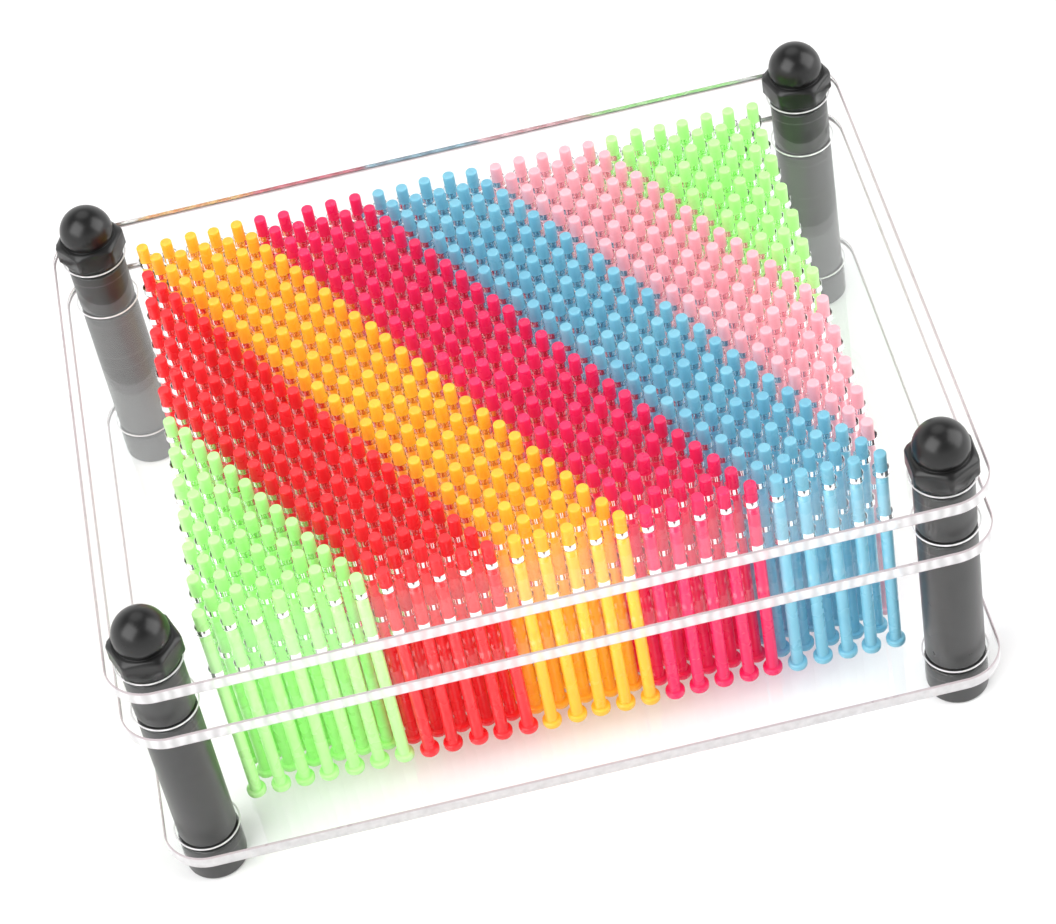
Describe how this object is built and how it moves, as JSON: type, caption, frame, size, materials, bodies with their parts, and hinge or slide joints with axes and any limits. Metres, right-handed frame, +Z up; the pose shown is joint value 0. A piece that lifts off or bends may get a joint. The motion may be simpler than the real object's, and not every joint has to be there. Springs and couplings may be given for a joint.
{
  "type": "pin art impression toy",
  "caption": "Tabletop pin impression toy: loose coloured plastic pins standing through two drilled clear plates over a clear base, on black posts with cap nuts and round feet.",
  "frame": {"origin": "centre of the object in plan, on the surface that the four feet stand on", "axes": "+X along the long side to the right, +Y to the rear, +Z up along the pins and posts"},
  "size_m": [0.125, 0.097, 0.0547],
  "materials": {
    "clear_acrylic": "clear polished acrylic",
    "nut_black": "semi-gloss black plastic",
    "tube_black": "satin black plastic",
    "foot_black": "satin black plastic",
    "pin_green": "translucent coloured plastic",
    "pin_red": "translucent coloured plastic",
    "pin_yellow": "translucent coloured plastic",
    "pin_crimson": "translucent coloured plastic",
    "pin_blue": "translucent coloured plastic",
    "pin_pink": "translucent coloured plastic"
  },
  "bodies": {
    "housing": {"top_plate": "clear_acrylic", "guide_plate": "clear_acrylic", "base_plate": "clear_acrylic", "cap_nut_front_left": "nut_black", "cap_nut_front_right": "nut_black", "cap_nut_rear_left": "nut_black", "cap_nut_rear_right": "nut_black", "short_spacer_front_left": "tube_black", "short_spacer_front_right": "tube_black", "short_spacer_rear_left": "tube_black", "short_spacer_rear_right": "tube_black", "long_spacer_front_left": "tube_black", "long_spacer_front_right": "tube_black", "long_spacer_rear_left": "tube_black", "long_spacer_rear_right": "tube_black", "foot_bolt_front_left": "foot_black", "foot_bolt_front_right": "foot_black", "foot_bolt_rear_left": "foot_black", "foot_bolt_rear_right": "foot_black"},
    "left_green_line_1": {"left_green_pins_1": "pin_green"},
    "left_green_line_2": {"left_green_pins_2": "pin_green"},
    "left_green_line_3": {"left_green_pins_3": "pin_green"},
    "left_green_line_4": {"left_green_pins_4": "pin_green"},
    "left_green_line_5": {"left_green_pins_5": "pin_green"},
    "left_green_line_6": {"left_green_pins_6": "pin_green"},
    "left_green_line_7": {"left_green_pins_7": "pin_green"},
    "red_line_1": {"red_pins_1": "pin_red"},
    "red_line_2": {"red_pins_2": "pin_red"},
    "red_line_3": {"red_pins_3": "pin_red"},
    "red_line_4": {"red_pins_4": "pin_red"},
    "red_line_5": {"red_pins_5": "pin_red"},
    "yellow_line_1": {"yellow_pins_1": "pin_yellow"},
    "yellow_line_2": {"yellow_pins_2": "pin_yellow"},
    "yellow_line_3": {"yellow_pins_3": "pin_yellow"},
    "yellow_line_4": {"yellow_pins_4": "pin_yellow"},
    "yellow_line_5": {"yellow_pins_5": "pin_yellow"},
    "crimson_line_1": {"crimson_pins_1": "pin_crimson"},
    "crimson_line_2": {"crimson_pins_2": "pin_crimson"},
    "crimson_line_3": {"crimson_pins_3": "pin_crimson"},
    "crimson_line_4": {"crimson_pins_4": "pin_crimson"},
    "crimson_line_5": {"crimson_pins_5": "pin_crimson"},
    "blue_line_1": {"blue_pins_1": "pin_blue"},
    "blue_line_2": {"blue_pins_2": "pin_blue"},
    "blue_line_3": {"blue_pins_3": "pin_blue"},
    "blue_line_4": {"blue_pins_4": "pin_blue"},
    "blue_line_5": {"blue_pins_5": "pin_blue"},
    "pink_line_1": {"pink_pins_1": "pin_pink"},
    "pink_line_2": {"pink_pins_2": "pin_pink"},
    "pink_line_3": {"pink_pins_3": "pin_pink"},
    "pink_line_4": {"pink_pins_4": "pin_pink"},
    "pink_line_5": {"pink_pins_5": "pin_pink"},
    "right_green_line_1": {"right_green_pins_1": "pin_green"},
    "right_green_line_2": {"right_green_pins_2": "pin_green"},
    "right_green_line_3": {"right_green_pins_3": "pin_green"},
    "right_green_line_4": {"right_green_pins_4": "pin_green"},
    "right_green_line_5": {"right_green_pins_5": "pin_green"},
    "right_green_line_6": {"right_green_pins_6": "pin_green"},
    "right_green_line_7": {"right_green_pins_7": "pin_green"}
  },
  "joints": [
    {"name": "left_green_slide_1", "type": "slide", "parent": "housing", "child": "left_green_line_1", "axis": [0, 0, 1], "range_m": [0, 0.024]},
    {"name": "left_green_slide_2", "type": "slide", "parent": "housing", "child": "left_green_line_2", "axis": [0, 0, 1], "range_m": [0, 0.024]},
    {"name": "left_green_slide_3", "type": "slide", "parent": "housing", "child": "left_green_line_3", "axis": [0, 0, 1], "range_m": [0, 0.024]},
    {"name": "left_green_slide_4", "type": "slide", "parent": "housing", "child": "left_green_line_4", "axis": [0, 0, 1], "range_m": [0, 0.024]},
    {"name": "left_green_slide_5", "type": "slide", "parent": "housing", "child": "left_green_line_5", "axis": [0, 0, 1], "range_m": [0, 0.024]},
    {"name": "left_green_slide_6", "type": "slide", "parent": "housing", "child": "left_green_line_6", "axis": [0, 0, 1], "range_m": [0, 0.024]},
    {"name": "left_green_slide_7", "type": "slide", "parent": "housing", "child": "left_green_line_7", "axis": [0, 0, 1], "range_m": [0, 0.024]},
    {"name": "red_slide_1", "type": "slide", "parent": "housing", "child": "red_line_1", "axis": [0, 0, 1], "range_m": [0, 0.024]},
    {"name": "red_slide_2", "type": "slide", "parent": "housing", "child": "red_line_2", "axis": [0, 0, 1], "range_m": [0, 0.024]},
    {"name": "red_slide_3", "type": "slide", "parent": "housing", "child": "red_line_3", "axis": [0, 0, 1], "range_m": [0, 0.024]},
    {"name": "red_slide_4", "type": "slide", "parent": "housing", "child": "red_line_4", "axis": [0, 0, 1], "range_m": [0, 0.024]},
    {"name": "red_slide_5", "type": "slide", "parent": "housing", "child": "red_line_5", "axis": [0, 0, 1], "range_m": [0, 0.024]},
    {"name": "yellow_slide_1", "type": "slide", "parent": "housing", "child": "yellow_line_1", "axis": [0, 0, 1], "range_m": [0, 0.024]},
    {"name": "yellow_slide_2", "type": "slide", "parent": "housing", "child": "yellow_line_2", "axis": [0, 0, 1], "range_m": [0, 0.024]},
    {"name": "yellow_slide_3", "type": "slide", "parent": "housing", "child": "yellow_line_3", "axis": [0, 0, 1], "range_m": [0, 0.024]},
    {"name": "yellow_slide_4", "type": "slide", "parent": "housing", "child": "yellow_line_4", "axis": [0, 0, 1], "range_m": [0, 0.024]},
    {"name": "yellow_slide_5", "type": "slide", "parent": "housing", "child": "yellow_line_5", "axis": [0, 0, 1], "range_m": [0, 0.024]},
    {"name": "crimson_slide_1", "type": "slide", "parent": "housing", "child": "crimson_line_1", "axis": [0, 0, 1], "range_m": [0, 0.024]},
    {"name": "crimson_slide_2", "type": "slide", "parent": "housing", "child": "crimson_line_2", "axis": [0, 0, 1], "range_m": [0, 0.024]},
    {"name": "crimson_slide_3", "type": "slide", "parent": "housing", "child": "crimson_line_3", "axis": [0, 0, 1], "range_m": [0, 0.024]},
    {"name": "crimson_slide_4", "type": "slide", "parent": "housing", "child": "crimson_line_4", "axis": [0, 0, 1], "range_m": [0, 0.024]},
    {"name": "crimson_slide_5", "type": "slide", "parent": "housing", "child": "crimson_line_5", "axis": [0, 0, 1], "range_m": [0, 0.024]},
    {"name": "blue_slide_1", "type": "slide", "parent": "housing", "child": "blue_line_1", "axis": [0, 0, 1], "range_m": [0, 0.024]},
    {"name": "blue_slide_2", "type": "slide", "parent": "housing", "child": "blue_line_2", "axis": [0, 0, 1], "range_m": [0, 0.024]},
    {"name": "blue_slide_3", "type": "slide", "parent": "housing", "child": "blue_line_3", "axis": [0, 0, 1], "range_m": [0, 0.024]},
    {"name": "blue_slide_4", "type": "slide", "parent": "housing", "child": "blue_line_4", "axis": [0, 0, 1], "range_m": [0, 0.024]},
    {"name": "blue_slide_5", "type": "slide", "parent": "housing", "child": "blue_line_5", "axis": [0, 0, 1], "range_m": [0, 0.024]},
    {"name": "pink_slide_1", "type": "slide", "parent": "housing", "child": "pink_line_1", "axis": [0, 0, 1], "range_m": [0, 0.024]},
    {"name": "pink_slide_2", "type": "slide", "parent": "housing", "child": "pink_line_2", "axis": [0, 0, 1], "range_m": [0, 0.024]},
    {"name": "pink_slide_3", "type": "slide", "parent": "housing", "child": "pink_line_3", "axis": [0, 0, 1], "range_m": [0, 0.024]},
    {"name": "pink_slide_4", "type": "slide", "parent": "housing", "child": "pink_line_4", "axis": [0, 0, 1], "range_m": [0, 0.024]},
    {"name": "pink_slide_5", "type": "slide", "parent": "housing", "child": "pink_line_5", "axis": [0, 0, 1], "range_m": [0, 0.024]},
    {"name": "right_green_slide_1", "type": "slide", "parent": "housing", "child": "right_green_line_1", "axis": [0, 0, 1], "range_m": [0, 0.024]},
    {"name": "right_green_slide_2", "type": "slide", "parent": "housing", "child": "right_green_line_2", "axis": [0, 0, 1], "range_m": [0, 0.024]},
    {"name": "right_green_slide_3", "type": "slide", "parent": "housing", "child": "right_green_line_3", "axis": [0, 0, 1], "range_m": [0, 0.024]},
    {"name": "right_green_slide_4", "type": "slide", "parent": "housing", "child": "right_green_line_4", "axis": [0, 0, 1], "range_m": [0, 0.024]},
    {"name": "right_green_slide_5", "type": "slide", "parent": "housing", "child": "right_green_line_5", "axis": [0, 0, 1], "range_m": [0, 0.024]},
    {"name": "right_green_slide_6", "type": "slide", "parent": "housing", "child": "right_green_line_6", "axis": [0, 0, 1], "range_m": [0, 0.024]},
    {"name": "right_green_slide_7", "type": "slide", "parent": "housing", "child": "right_green_line_7", "axis": [0, 0, 1], "range_m": [0, 0.024]}
  ]
}
